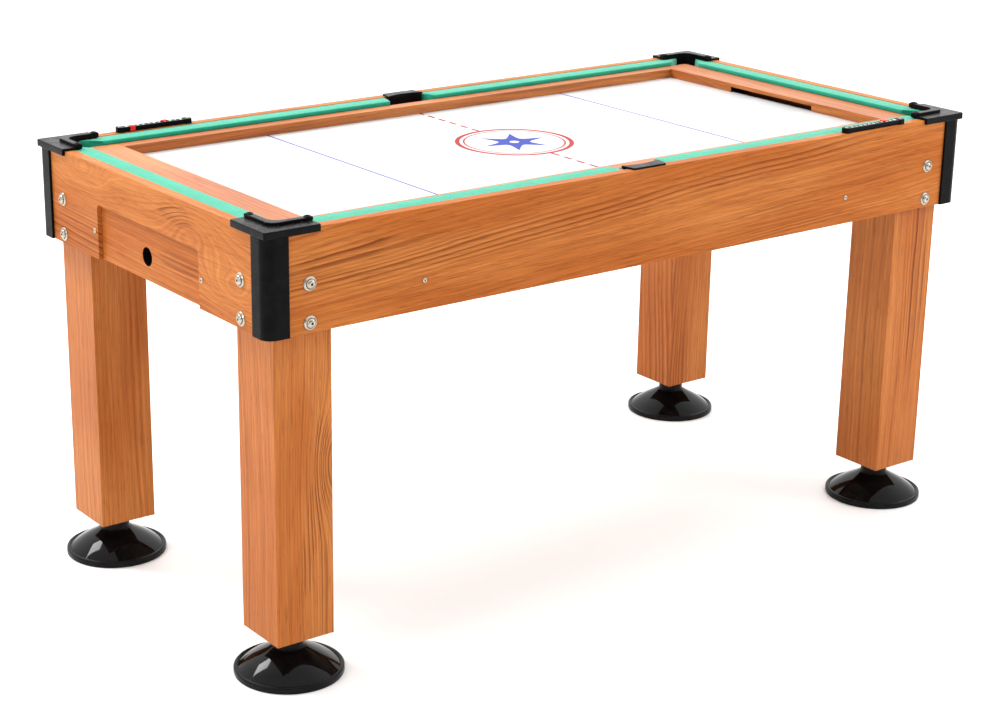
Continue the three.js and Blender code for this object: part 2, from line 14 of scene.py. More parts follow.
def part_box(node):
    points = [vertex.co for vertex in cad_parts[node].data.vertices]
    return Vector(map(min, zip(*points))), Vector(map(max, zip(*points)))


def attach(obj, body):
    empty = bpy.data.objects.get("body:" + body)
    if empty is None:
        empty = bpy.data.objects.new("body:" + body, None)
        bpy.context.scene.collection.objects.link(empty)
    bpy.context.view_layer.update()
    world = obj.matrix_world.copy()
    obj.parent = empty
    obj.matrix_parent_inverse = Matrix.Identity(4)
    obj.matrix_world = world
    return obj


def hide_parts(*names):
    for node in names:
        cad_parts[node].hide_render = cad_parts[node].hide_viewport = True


MM = 0.001
X, Y, Z = 0, 1, 2  # axes, as indices

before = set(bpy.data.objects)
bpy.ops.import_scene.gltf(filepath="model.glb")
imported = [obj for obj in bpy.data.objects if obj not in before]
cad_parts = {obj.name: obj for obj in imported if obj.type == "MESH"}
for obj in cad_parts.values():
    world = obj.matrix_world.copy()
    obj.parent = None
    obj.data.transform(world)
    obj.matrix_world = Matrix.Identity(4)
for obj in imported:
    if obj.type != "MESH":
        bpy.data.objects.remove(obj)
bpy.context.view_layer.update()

# ---------- places taken from the frame ----------

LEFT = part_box("apron_left")[0].x  # outer faces of the end and side aprons
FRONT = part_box("apron_front")[0].y
APRON_BOTTOM, RAIL_TOP = (corner.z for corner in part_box("apron_front"))
BED_BOTTOM, BED_TOP = (corner.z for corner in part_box("bed_board"))
FIELD_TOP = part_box("play_field")[1].z
LEG_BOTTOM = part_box("leg_front_left")[0].z
FOOT_R = (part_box("foot_disc_front_left")[1].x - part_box("foot_disc_front_left")[0].x) / 2
STEM_LOW, STEM_HIGH = (corner.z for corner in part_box("foot_stem_front_left"))

# ---------- dimensions that the boxes don't give ----------

LEG_CENTRE = 75.8 * MM  # middle of a leg, from each outer face
LEG_FACE = FRONT + 22 * MM  # front of the two front legs
BOLT_INSET = 77 * MM  # leg bolts, from the corner
BOLT_DROPS = (88 * MM, 150.5 * MM)  # and below the rail top
STRIP = 19.5 * MM  # bare wood on top of a rail
CUSHION_NOSE = 55 * MM  # nose line, from the outer face
CORNER_NOSE = 93 * MM  # its end at a corner pocket, from the other rail's outer face
SIDE_NOSE = 51 * MM  # its end at a side pocket, from the rail's middle
CORNER_FLARE = 1.35  # slant of an end, per depth behind the nose
SIDE_FLARE = 0.28
MOUTH = 32 * MM  # inner edge of a side pocket's plate, from the outer face
COUNTER_X = 540 * MM  # middle of a counter, in the rail frame
COUNTER_INSET = 9.5 * MM
BEAM_X = 469 * MM  # apron screws of the long rails
PANEL_SCREW_Y = 182 * MM  # and of the left one
SCREW_DROP = 118 * MM
PANEL_HOLE_R = 16 * MM
GOAL_HALF = 113 * MM  # goal slot: half its width
GOAL_HEIGHT = 10.5 * MM  # and its height over the playing surface


def turned(x, y, turns):
    return Matrix.Translation((x, y, 0)) @ Matrix.Rotation(turns * math.pi / 2, 4, "Z")


# Rail frame: X along the rail, +Y inwards from the outer face.
RAILS = {
    "front": turned(0, FRONT, 0),
    "right": turned(-LEFT, 0, 1),
    "back": turned(0, -FRONT, 2),
    "left": turned(LEFT, 0, 3),
}
# Corner frame: origin where two outer faces meet, +X and +Y along the rails.
CORNERS = {
    "front_left": turned(LEFT, FRONT, 0),
    "front_right": turned(-LEFT, FRONT, 1),
    "back_right": turned(-LEFT, -FRONT, 2),
    "back_left": turned(LEFT, -FRONT, 3),
}

# ---------- material nodes ----------


class Nodes:
    """A node tree in the making, with short calls for its nodes."""

    def __init__(self, tree):
        self.tree = tree

    def node(self, kind, **settings):
        made = self.tree.nodes.new(f"ShaderNode{kind}")
        for key, value in settings.items():
            setattr(made, key, value)
        return made

    def feed(self, socket, value):
        """Links an output to a socket, or sets the socket's value."""
        if isinstance(value, bpy.types.NodeSocket):
            self.tree.links.new(value, socket)
        elif value is not None:
            socket.default_value = value

    def math(self, operation, a, b=None, c=None):
        made = self.node("Math", operation=operation)
        for socket, value in zip(made.inputs, (a, b, c)):
            self.feed(socket, value)
        return made.outputs[0]

    def times(self, a, b):
        return self.math("MULTIPLY", a, b)

    def vector(self, operation, a, b=None):
        made = self.node("VectorMath", operation=operation)
        self.feed(made.inputs[0], a)
        self.feed(made.inputs[1], b)
        return made.outputs["Value" if operation in ("LENGTH", "DOT_PRODUCT") else "Vector"]

    def split(self, vector):
        made = self.node("SeparateXYZ")
        self.feed(made.inputs[0], vector)
        return made.outputs

    def join(self, x, y, z):
        made = self.node("CombineXYZ")
        for socket, value in zip(made.inputs, (x, y, z)):
            self.feed(socket, value)
        return made.outputs[0]

    def noise(self, vector, scale=1.0, detail=2.0, roughness=0.5):
        made = self.node("TexNoise")
        self.feed(made.inputs["Vector"], vector)
        made.inputs["Scale"].default_value = scale
        made.inputs["Detail"].default_value = detail
        made.inputs["Roughness"].default_value = roughness
        return made.outputs[0]

    def cells(self, vector, scale, feature="F1"):
        made = self.node("TexVoronoi", feature=feature)
        self.feed(made.inputs["Vector"], vector)
        made.inputs["Scale"].default_value = scale
        return made.outputs["Distance"]

    def step(self, value, low, high, to_low=0.0, to_high=1.0):
        """Smoothly from to_low to to_high as value goes from low to high."""
        made = self.node("MapRange", interpolation_type="SMOOTHSTEP")
        for socket, number in zip(made.inputs, (value, low, high, to_low, to_high)):
            self.feed(socket, number)
        return made.outputs[0]

    def mix(self, factor, a, b):
        """Colour from a to b; either may be a plain (r, g, b)."""
        made = self.node("Mix", data_type="RGBA")
        for index, value in ((0, factor), (6, a), (7, b)):
            if isinstance(value, tuple):
                value = (*value, 1.0)
            self.feed(made.inputs[index], value)
        return made.outputs[2]


class Finish(Nodes):
    """A material with one principled shader, placed by the object's own coordinates."""

    def __init__(self, name):
        self.material = bpy.data.materials.new(name)
        self.material.use_nodes = True
        super().__init__(self.material.node_tree)
        self.tree.nodes.clear()
        self.shader = self.node("BsdfPrincipled")
        out = self.node("OutputMaterial")
        self.tree.links.new(self.shader.outputs[0], out.inputs["Surface"])
        self.place = self.node("TexCoord").outputs["Object"]

    def set(self, **values):
        """Feeds the shader's sockets, named in lower case with underscores."""
        for key, value in values.items():
            name = key.replace("_", " ").title().replace("Ior", "IOR")
            self.feed(self.shader.inputs[name], value)

    def bump(self, height, depth, strength=1.0):
        """Relief of the given depth, in metres, from a 0 to 1 height."""
        made = self.node("Bump")
        self.feed(made.inputs["Height"], height)
        made.inputs["Distance"].default_value = depth
        made.inputs["Strength"].default_value = strength
        self.feed(self.shader.inputs["Normal"], made.outputs[0])


WOOD = (0.47, 0.132, 0.024)
WOOD_LIGHT = (0.58, 0.200, 0.048)
WOOD_DARK = (0.12, 0.021, 0.003)
# Near black that is painted into recesses of the wood as painted shade.
PAINTED_SHADE = (0.005, 0.004, 0.004)
# Pale grey of the dust specks, and of the painted glints on faces that look up.
DUST_AND_GLINT = (0.30, 0.29, 0.28)
LINES_PER_METRE = 118.0


def laminate(
    name, along, across, shift, tilt=0.0, swirl=0.05, knots=(), figures=(), shade_masks=(), gloss=0.06
):
    """Wood-print laminate. The grain runs along one axis and its lines cross another.

    Lines are contours of one field over the board, warped so that they swell and loop.
    shift says which part of the print the board shows, tilt how far the grain leans, and
    swirl how far the lines wander. Knots are (place, reach, height) hills in the field,
    and figures are (place, half length, half width) patches where the lines are printed
    dark. The list of masks after figures marks recesses, the cut edges inside a hole or
    slot, where shade is painted in near black.
    """
    f = Finish(name)
    axes = f.split(f.vector("ADD", f.place, shift))
    deep = ({0, 1, 2} - {along, across}).pop()
    run, width, depth = axes[along], axes[across], axes[deep]

    def stretched(along_scale, across_scale, sheet=1.0):
        """Place on the board, scaled for a noise that is long in the grain."""
        flat = f.times(width, across_scale)
        return f.join(f.times(run, along_scale), flat, f.times(depth, sheet))

    def stripes(scale, detail):
        """Noise that changes from line to line and not along one."""
        return f.noise(f.join(f.times(field, scale), 0.0, 0.0), detail=detail)

    lean = f.math("MULTIPLY_ADD", run, -tilt, f.math("MULTIPLY_ADD", depth, 0.6, width))
    field = f.math("MULTIPLY_ADD", f.noise(stretched(1.25, 6.5), detail=1.0), swirl, lean)
    field = f.math("MULTIPLY_ADD", f.noise(stretched(7.0, 40.0), detail=3.0), 0.006, field)
    for place, reach, height in knots:
        scale = [1.0 / reach] * 3
        scale[along] *= 0.4
        away = f.vector("SUBTRACT", f.place, place)
        span = f.vector("LENGTH", f.vector("MULTIPLY", away, tuple(scale)))
        hill = f.math("EXPONENT", f.times(f.times(span, span), -1.0))
        field = f.math("MULTIPLY_ADD", hill, height, field)

    # Where the lines are dark: drifting bundles, and the figures asked for.
    bundle = f.step(f.noise(stretched(1.7, 8.0), detail=2.0), 0.48, 0.66, 0.14, 0.85)
    bundle = f.times(bundle, f.step(stripes(14.0, 1.0), 0.35, 0.6, 0.25, 1.0))
    for place, half_length, half_width in figures:
        away = f.split(f.vector("SUBTRACT", f.place, place))
        off = f.math("MULTIPLY_ADD", away[along], -tilt, away[across])
        lengthwise = f.math("DIVIDE", away[along], half_length)
        span = f.vector("LENGTH", f.join(lengthwise, f.math("DIVIDE", off, half_width), 0.0))
        bundle = f.math("MAXIMUM", bundle, f.step(span, 0.55, 1.1, 1.0, 0.0))

    # Growth lines: each one darkens slowly and ends sharply, and no two are as dark.
    phase = f.math("MULTIPLY_ADD", field, LINES_PER_METRE, f.times(stripes(30.0, 2.0), 3.2))
    part = f.math("FRACT", phase)
    line = f.times(f.step(part, 0.25, 0.85), f.step(part, 0.88, 1.0, 1.0, 0.0))
    line = f.times(line, f.step(stripes(95.0, 1.0), 0.35, 0.65, 0.3, 1.0))
    line = f.times(line, bundle)

    fibre = f.noise(stretched(9.0, 520.0, 520.0), detail=3.0, roughness=0.6)
    pore = f.step(f.noise(stretched(26.0, 620.0, 620.0), detail=2.0), 0.58, 0.70)
    cloud = f.noise(stretched(2.2, 13.0), detail=2.0)

    colour = f.mix(f.step(cloud, 0.35, 0.68), WOOD, WOOD_LIGHT)
    colour = f.mix(f.step(stripes(210.0, 4.0), 0.35, 0.7, 0.0, 0.42), colour, WOOD_DARK)
    colour = f.mix(line, colour, WOOD_DARK)
    colour = f.mix(f.step(fibre, 0.40, 0.75, 0.0, 0.34), colour, WOOD_DARK)
    colour = f.mix(f.times(pore, 0.42), colour, WOOD_DARK)
    # Painted shade: near black over the masked recesses, where the wood lies in shade.
    for mask in shade_masks:
        colour = f.mix(mask(f), colour, PAINTED_SHADE)
    f.set(base_color=colour, roughness=f.step(fibre, 0.3, 0.7, 0.36, 0.48), specular_ior_level=gloss)
    f.bump(f.math("MULTIPLY_ADD", pore, -0.6, fibre), 0.03 * MM)
    return f.material


def particle_board():
    """Raw board of pressed flakes, for what is under the bed."""
    f = Finish("particle_board")
    flakes = f.cells(f.vector("MULTIPLY", f.place, (1.0, 1.6, 1.0)), 330.0)
    grit = f.noise(f.place, 900.0, detail=3.0)
    cloud = f.noise(f.place, 9.0)
    colour = f.mix(f.step(flakes, 0.1, 0.8), (0.30, 0.19, 0.10), (0.56, 0.41, 0.26))
    colour = f.mix(f.step(cloud, 0.3, 0.7, 0.0, 0.35), colour, (0.38, 0.25, 0.14))
    f.set(base_color=colour, roughness=f.step(grit, 0.3, 0.7, 0.75, 0.95))
    f.bump(f.math("ADD", flakes, grit), 0.15 * MM)
    return f.material


def billiard_cloth():
    """Tight green woven wool with a short nap and a few pale specks of lint."""
    f = Finish("billiard_cloth")
    axes = f.split(f.vector("MULTIPLY", f.place, (9000.0, 9000.0, 9000.0)))
    weave = f.times(f.math("SINE", axes[0]), f.math("SINE", axes[1]))
    nap = f.noise(f.place, 1400.0, detail=4.0, roughness=0.7)
    cloud = f.noise(f.place, 22.0, detail=3.0)
    lint = f.step(f.noise(f.vector("MULTIPLY", f.place, (1.0, 2.0, 1.0)), 210.0), 0.77, 0.80)
    colour = f.mix(f.step(nap, 0.3, 0.7), (0.006, 0.255, 0.15), (0.022, 0.41, 0.265))
    colour = f.mix(f.step(cloud, 0.35, 0.7, 0.0, 0.4), colour, (0.007, 0.25, 0.15))
    colour = f.mix(f.times(lint, 0.7), colour, (0.55, 0.75, 0.66))
    f.set(base_color=colour, roughness=f.step(nap, 0.3, 0.7, 0.82, 0.97))
    f.set(sheen_weight=0.5, sheen_roughness=0.4, sheen_tint=(0.75, 1.0, 0.92, 1.0))
    f.set(specular_ior_level=0.25)
    f.bump(f.math("MULTIPLY_ADD", weave, 0.35, nap), 0.12 * MM)
    return f.material


def moulded_black(name, gloss, painted_glints=0.0):
    """Matt black moulding: fine leather grain, rubbed patches and a few pale specks.

    The number after gloss says how strongly pale flecks are painted on the faces that look up: painted
    glints, for light caught by the tops.
    """
    f = Finish(name)
    grain = f.cells(f.place, 640.0, "SMOOTH_F1")
    fine = f.noise(f.place, 2600.0, detail=2.0)
    rubbed = f.noise(f.place, 38.0, detail=4.0, roughness=0.65)
    dust = f.step(f.noise(f.place, 520.0, detail=2.0), 0.70, 0.78)
    colour = f.mix(f.step(rubbed, 0.35, 0.7), (0.002, 0.002, 0.0022), (0.0045, 0.0045, 0.005))
    colour = f.mix(f.times(dust, 0.10), colour, DUST_AND_GLINT)
    # Painted glints: pale flecks only on faces that look up, where the light above catches them.
    upwards = f.split(f.node("NewGeometry").outputs["Normal"])[Z]
    glint_spots = f.step(f.noise(f.place, 330.0, detail=2.0), 0.62, 0.74)
    glint_spots = f.times(glint_spots, f.step(upwards, 0.5, 0.9))
    colour = f.mix(f.times(glint_spots, painted_glints), colour, DUST_AND_GLINT)
    f.set(base_color=colour, roughness=f.step(rubbed, 0.3, 0.72, 0.36, 0.20), specular_ior_level=gloss)
    f.bump(f.math("MULTIPLY_ADD", fine, 0.3, grain), 0.12 * MM)
    return f.material


def polished_black():
    """Polished black plastic with faint turning marks and smears."""
    f = Finish("polished_black")
    smear = f.noise(f.vector("MULTIPLY", f.place, (1.0, 1.0, 2.5)), 26.0, detail=3.0)
    speck = f.step(f.noise(f.place, 900.0), 0.72, 0.78)
    colour = f.mix(f.step(smear, 0.3, 0.7), (0.0015, 0.0015, 0.002), (0.003, 0.003, 0.0035))
    colour = f.mix(f.times(speck, 0.15), colour, (0.25, 0.25, 0.25))
    f.set(base_color=colour, roughness=f.step(smear, 0.35, 0.75, 0.03, 0.09), specular_ior_level=0.10)
    f.bump(f.noise(f.place, 60.0), 0.05 * MM, 0.4)
    return f.material


def satin_black():
    """The rim and the neck of a foot, as they come from the mould."""
    f = Finish("satin_black")
    fine = f.noise(f.place, 1500.0, detail=2.0)
    cloud = f.noise(f.place, 45.0, detail=3.0)
    colour = f.mix(f.step(cloud, 0.3, 0.7), (0.003, 0.003, 0.0035), (0.006, 0.006, 0.0065))
    f.set(base_color=colour, roughness=f.step(cloud, 0.3, 0.7, 0.30, 0.42), specular_ior_level=0.1)
    f.bump(fine, 0.03 * MM)
    return f.material


def nickel():
    """Bright plated steel with fine scratches."""
    f = Finish("nickel")
    scratch = f.noise(f.vector("MULTIPLY", f.place, (260.0, 1800.0, 900.0)), detail=3.0)
    cloud = f.noise(f.place, 240.0, detail=2.0)
    colour = f.mix(f.step(cloud, 0.3, 0.7), (0.37, 0.325, 0.26), (0.50, 0.45, 0.37))
    f.set(base_color=colour, roughness=f.step(scratch, 0.3, 0.7, 0.20, 0.34), metallic=1.0)
    f.bump(scratch, 0.01 * MM)
    return f.material


def tarnished():
    """Painted shade: dull dark metal for the sockets and grooves of screws and bolts, standing for the
    shade in them, with a mottled tone.
    """
    f = Finish("tarnished")
    mottle = f.noise(f.place, 700.0, detail=3.0)
    colour = f.mix(f.step(mottle, 0.3, 0.7), (0.035, 0.030, 0.026), (0.11, 0.095, 0.08))
    f.set(base_color=colour, roughness=f.step(mottle, 0.3, 0.7, 0.45, 0.65), metallic=0.6)
    f.bump(mottle, 0.03 * MM)
    return f.material


def red_plastic():
    f = Finish("red_plastic")
    cloud = f.noise(f.place, 300.0, detail=2.0)
    colour = f.mix(f.step(cloud, 0.3, 0.7), (0.78, 0.012, 0.012), (0.90, 0.025, 0.022))
    f.set(base_color=colour, roughness=f.step(cloud, 0.3, 0.7, 0.22, 0.34), specular_ior_level=0.2)
    f.bump(f.noise(f.place, 1900.0), 0.02 * MM)
    return f.material


def printed_white():
    """White ink of the counter's numerals, thin enough to show the black in places."""
    f = Finish("printed_white")
    worn = f.noise(f.place, 2200.0, detail=3.0)
    colour = f.mix(f.step(worn, 0.62, 0.75), (0.92, 0.92, 0.90), (0.55, 0.55, 0.54))
    f.set(base_color=colour, roughness=f.step(worn, 0.3, 0.7, 0.45, 0.6))
    return f.material


RING_OUTER = 108.5 * MM  # outside of each ring, and how wide its line is
RING_LINE = 8.5 * MM
THIN_RING = 94 * MM
THIN_LINE = 3.4 * MM
CENTRE_LINE = 6.0 * MM  # dashed line across the middle
DASH_STEP = 35 * MM
DASH_SHARE = 0.64
ZONE_X = 344 * MM  # blue line across each half
ZONE_LINE = 3.6 * MM
STAR_REACH = 68 * MM
STAR_DOT = 9 * MM
AIR_PITCH = 25.4 * MM
AIR_HOLE = 0.4 * MM


def rink():
    """White playing surface: printed rings and lines, and a grid of small air holes, drawn as dots of
    painted shade with a small dent of bump.
    """
    f = Finish("rink")
    x, y, _ = f.split(f.place)
    span = f.vector("LENGTH", f.join(x, y, 0.0))
    soft = 0.5 * MM

    def within(distance, half_width):
        return f.step(distance, half_width - soft, half_width + soft, 1.0, 0.0)

    def ring(radius, line):
        return within(f.math("ABSOLUTE", f.math("SUBTRACT", span, radius - line / 2)), line / 2)

    both = f.math("MAXIMUM", ring(RING_OUTER, RING_LINE), ring(THIN_RING, THIN_LINE))
    beyond = f.math("SUBTRACT", f.math("ABSOLUTE", y), RING_OUTER)
    beat = f.math("FRACT", f.math("DIVIDE", beyond, DASH_STEP))
    dashes = f.times(within(f.math("ABSOLUTE", x), CENTRE_LINE / 2), within(beat, DASH_SHARE))
    dashes = f.times(dashes, f.math("GREATER_THAN", beyond, 0.0))
    red = f.math("MAXIMUM", both, dashes)
    off_zone = f.math("SUBTRACT", f.math("ABSOLUTE", x), ZONE_X)
    zone = within(f.math("ABSOLUTE", off_zone), ZONE_LINE / 2)

    # Middle mark: a plain six-pointed star with a dot cut out of it.
    wave = f.math("ABSOLUTE", f.math("SINE", f.times(f.math("ARCTAN2", y, x), 3.0)))
    reach = f.times(span, f.math("MULTIPLY_ADD", wave, 1.35, 1.0))
    outside_dot = f.math("GREATER_THAN", span, STAR_DOT)
    star = f.times(within(reach, STAR_REACH), outside_dot)
    blue = f.math("MAXIMUM", zone, star)

    # Air holes: dark dots of painted shade, for the shade inside each hole.
    shares = [f.math("FRACT", f.math("DIVIDE", axis, AIR_PITCH)) for axis in (x, y)]
    cell = f.join(*[f.math("SUBTRACT", share, 0.5) for share in shares], 0.0)
    hole = within(f.times(f.vector("LENGTH", cell), AIR_PITCH), AIR_HOLE)

    tone = f.noise(f.place, 14.0, detail=3.0)
    streak = f.noise(f.vector("MULTIPLY", f.place, (5.0, 40.0, 1.0)), detail=5.0, roughness=0.7)
    scuff = f.step(streak, 0.62, 0.8)
    white = f.mix(f.step(tone, 0.3, 0.7), (0.50, 0.50, 0.50), (0.54, 0.54, 0.54))
    colour = f.mix(red, white, (0.30, 0.006, 0.005))
    colour = f.mix(blue, colour, (0.012, 0.03, 0.28))
    # The air holes take the painted shade.
    colour = f.mix(hole, colour, (0.02, 0.02, 0.02))
    rough = f.math("MULTIPLY_ADD", scuff, 0.10, f.step(tone, 0.3, 0.7, 0.20, 0.28))
    f.set(base_color=colour, roughness=rough, specular_ior_level=0.02)
    f.bump(f.math("MULTIPLY_ADD", hole, -1.0, f.times(tone, 0.03)), 0.4 * MM)
    return f.material


def pale_floor():
    f = Finish("pale_floor")
    tone = f.noise(f.place, 1.3, detail=3.0)
    colour = f.mix(tone, (0.84, 0.84, 0.84), (0.88, 0.88, 0.88))
    f.set(base_color=colour, roughness=f.step(tone, 0.3, 0.7, 0.55, 0.65))
    return f.material


BOARD = particle_board()
CLOTH = billiard_cloth()
MOULDED = moulded_black("moulded_black", 0.05)
# Rail black has painted glints on its faces that look up.
RAIL_BLACK = moulded_black("rail_black", 0.07, painted_glints=0.3)
POLISHED = polished_black()
SATIN = satin_black()
NICKEL = nickel()
PAINTED_GROOVE_SHADE = tarnished()
RED = red_plastic()
WHITE_INK = printed_white()

# ---------- mesh making ----------


def in_mm(points):
    """Points written in millimetres, as metres."""
    return [tuple(value * MM for value in point) for point in points]


def link(obj):
    bpy.context.scene.collection.objects.link(obj)


def arc(centre, radius, start, end, steps):
    """Points on a circle, angles in degrees."""
    angles = [math.radians(start + (end - start) * i / steps) for i in range(steps + 1)]
    return [(centre[0] + radius * math.cos(a), centre[1] + radius * math.sin(a)) for a in angles]


def soften(corners, steps=4):
    """Rounds each (x, y, radius) corner of a closed outline."""
    outline = []
    for i, (x, y, radius) in enumerate(corners):
        corner = Vector((x, y))
        if radius == 0:
            outline.append((x, y))
            continue
        before = (Vector(corners[i - 1][:2]) - corner).normalized()
        after = (Vector(corners[(i + 1) % len(corners)][:2]) - corner).normalized()
        half = before.angle(after) / 2
        centre = corner + (before + after).normalized() * (radius / math.sin(half))
        reach = radius / math.tan(half)
        first, last = corner + before * reach - centre, corner + after * reach - centre
        start = math.atan2(first.y, first.x)
        turn = (math.atan2(last.y, last.x) - start + math.pi) % (2 * math.pi) - math.pi
        for k in range(steps + 1):
            a = start + turn * k / steps
            outline.append((centre.x + radius * math.cos(a), centre.y + radius * math.sin(a)))
    return outline


def loft(bm, rings):
    """Skins closed rings that have the same number of points, and closes the two ends."""
    rows = [[bm.verts.new(point) for point in ring] for ring in rings]
    for low, high in zip(rows, rows[1:]):
        for i, start in enumerate(low):
            j = (i + 1) % len(low)
            bm.faces.new((start, low[j], high[j], high[i]))
    bm.faces.new(rows[0][::-1])
    bm.faces.new(rows[-1])


def stack(bm, outline, heights):
    """Lofts one XY outline through a list of heights."""
    loft(bm, [[(x, y, z) for x, y in outline] for z in heights])


def raise_faces(bm, faces, height):
    """Extrudes faces upwards; the first ones stay as the underside."""
    grown = bmesh.ops.extrude_face_region(bm, geom=faces)["geom"]
    verts = [part for part in grown if isinstance(part, bmesh.types.BMVert)]
    bmesh.ops.translate(bm, vec=(0, 0, height), verts=verts)


def prism(bm, outline, low, high, holes=()):
    """An XY outline, with holes, raised from low to high."""
    edges = []
    for loop in (outline, *holes):
        verts = [bm.verts.new((x, y, low)) for x, y in loop]
        edges += [bm.edges.new((v, verts[i - 1])) for i, v in enumerate(verts)]
    floor = bmesh.ops.triangle_fill(bm, use_beauty=True, edges=edges)["geom"]
    faces = [part for part in floor if isinstance(part, bmesh.types.BMFace)]
    raise_faces(bm, faces, high - low)


def lathe(bm, profile, segments=48, place=Matrix.Identity(4), shape=None, second=()):
    """Turns a (radius, height) profile that starts and ends on the axis.

    shape, if given, says for each profile point and angle how far out the point is.
    second lists the bands, counted from 0, that take the piece's second material.
    """
    rows = []
    for index, (radius, height) in enumerate(profile):
        if radius == 0:
            rows.append([bm.verts.new(place @ Vector((0, 0, height)))])
            continue
        row = []
        for k in range(segments):
            angle = 2 * math.pi * k / segments
            out = shape(index, angle) if shape else radius
            point = Vector((out * math.cos(angle), out * math.sin(angle), height))
            row.append(bm.verts.new(place @ point))
        rows.append(row)
    for band, (low, high) in enumerate(zip(rows, rows[1:])):
        for k in range(segments):
            j = (k + 1) % segments
            below = [low[k % len(low)], low[j % len(low)]]
            above = [high[j % len(high)], high[k % len(high)]]
            face = bm.faces.new(list(dict.fromkeys(below + above)))
            face.material_index = int(band in second)


def piece(name, bm, body, material, stands_for=(), place=Matrix.Identity(4), second=None):
    """Makes an object that rides on a body and replaces the CAD nodes it stands for."""
    bmesh.ops.transform(bm, matrix=place, verts=bm.verts)
    bmesh.ops.recalc_face_normals(bm, faces=bm.faces)
    mesh = bpy.data.meshes.new(name)
    bm.to_mesh(mesh)
    bm.free()
    mesh.shade_smooth()
    mesh.set_sharp_from_angle(angle=math.radians(40))
    obj = bpy.data.objects.new(name, mesh)
    link(obj)
    mesh.materials.append(material)
    if second:
        mesh.materials.append(second)
    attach(obj, body)
    if stands_for:
        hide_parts(*stands_for)
    return obj


def ease(obj, width, segments=3):
    """Rounds an object's sharp edges by modifiers, and keeps its flat faces flat."""
    bevel = obj.modifiers.new("edges", "BEVEL")
    bevel.width = width
    bevel.segments = segments
    bevel.limit_method = "ANGLE"
    bevel.angle_limit = math.radians(40)
    bevel.use_clamp_overlap = True
    weighted = obj.modifiers.new("normals", "WEIGHTED_NORMAL")
    weighted.keep_sharp = True


def dress(node, material, width):
    """Gives a CAD node its finish, and breaks its edges by modifiers."""
    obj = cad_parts[node]
    obj.data.materials.clear()
    obj.data.materials.append(material)
    weld = obj.modifiers.new("weld", "WELD")
    weld.merge_threshold = 0.01 * MM
    flat = obj.modifiers.new("flat", "DECIMATE")
    flat.decimate_type = "DISSOLVE"
    flat.angle_limit = math.radians(0.5)
    ease(obj, width)
    obj.data.shade_smooth()


# ---------- rails, legs and boards: CAD nodes with their finish ----------


def hole_edge(f):
    """Mask of the edge of the end panel's round hole, where shade is painted in near black."""
    low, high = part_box("hole_cup")
    away = f.split(f.vector("SUBTRACT", f.place, tuple((low + high) / 2)))
    span = f.vector("LENGTH", f.join(0.0, away[Y], away[Z]))
    return f.math("LESS_THAN", span, PANEL_HOLE_R + 0.15 * MM)


def goal_edge(f):
    """Mask of what is inside the goal slots, where shade is painted in near black."""
    _, y, z = f.split(f.place)
    beside = f.math("LESS_THAN", f.math("ABSOLUTE", y), GOAL_HALF + 0.2 * MM)
    below = f.math("LESS_THAN", z, FIELD_TOP + GOAL_HEIGHT + 0.2 * MM)
    above = f.math("GREATER_THAN", z, FIELD_TOP - 6 * MM)
    return f.times(beside, f.times(below, above))


# Knots and dark figures stand about where the photograph has them.
RAIL_LOOKS = {
    "front": dict(shift=(0.37, 0.0, -0.69), tilt=0.075, figures=[
        ((-0.20, FRONT, 0.700), 0.42, 0.022),
        ((0.28, FRONT, 0.735), 0.30, 0.020),
        ((-0.62, FRONT, 0.72), 0.12, 0.03),
    ]),
    "back": dict(shift=(1.9, 0.4, -0.3), tilt=-0.05),
    "left": dict(shift=(0.2, 2.3, -0.77), tilt=0.03, knots=[
        ((LEFT, 0.215, 0.742), 0.035, 0.05),
        ((LEFT, -0.150, 0.735), 0.04, -0.05),
        ((LEFT, -0.285, 0.655), 0.03, 0.035),
    ], figures=[((LEFT, -0.10, 0.74), 0.07, 0.02)]),
    "right": dict(shift=(0.0, 4.1, 0.5), tilt=-0.04),
}
PANEL_STREAK = ((LEFT, -0.10, 0.655), 0.085, 0.024)
LEG_LOOKS = {
    "front_left": dict(knots=[((LEFT + 130 * MM, LEG_FACE, 0.37), 0.032, 0.045)], figures=[
        ((LEFT + 112 * MM, LEG_FACE, 0.37), 0.10, 0.022),
        ((LEFT + 94 * MM, LEG_FACE, 0.28), 0.08, 0.018),
        ((LEFT + 80 * MM, LEG_FACE, 0.20), 0.06, 0.014),
    ]),
    "front_right": dict(figures=[((-LEFT - 60 * MM, LEG_FACE, 0.45), 0.2, 0.03)]),
    "back_right": {},
    "back_left": {},
}


def dress_wood():
    """Aprons and field borders by rail, then the end panel and the legs."""
    for name, look in RAIL_LOOKS.items():
        along = X if name in ("front", "back") else Y
        dress(f"apron_{name}", laminate(f"laminate_{name}", along, Z, **look), 0.7 * MM)
        shift = tuple(value + 3.3 for value in look["shift"])
        # The insides of the goal slots in the end borders get painted shade.
        edges = [goal_edge] if along == Y else []
        border = laminate(
            f"laminate_border_{name}", along, 1 - along, shift, swirl=0.09, shade_masks=edges, gloss=0.3
        )
        dress(f"field_border_{name}", border, 0.6 * MM)
    shift = (5.0, 1.1, -0.6)
    # The cut edge of the panel's hole gets painted shade.
    panel = laminate("laminate_panel", Y, Z, shift, figures=[PANEL_STREAK], shade_masks=[hole_edge])
    dress("end_panel", panel, 0.5 * MM)
    for index, (name, look) in enumerate(LEG_LOOKS.items()):
        shift = (0.11 * index, 0.23 * index, 0.7 + 1.3 * index)
        leg = laminate(f"laminate_leg_{name}", Z, X, shift, gloss=0.12, **look)
        dress(f"leg_{name}", leg, 0.6 * MM)


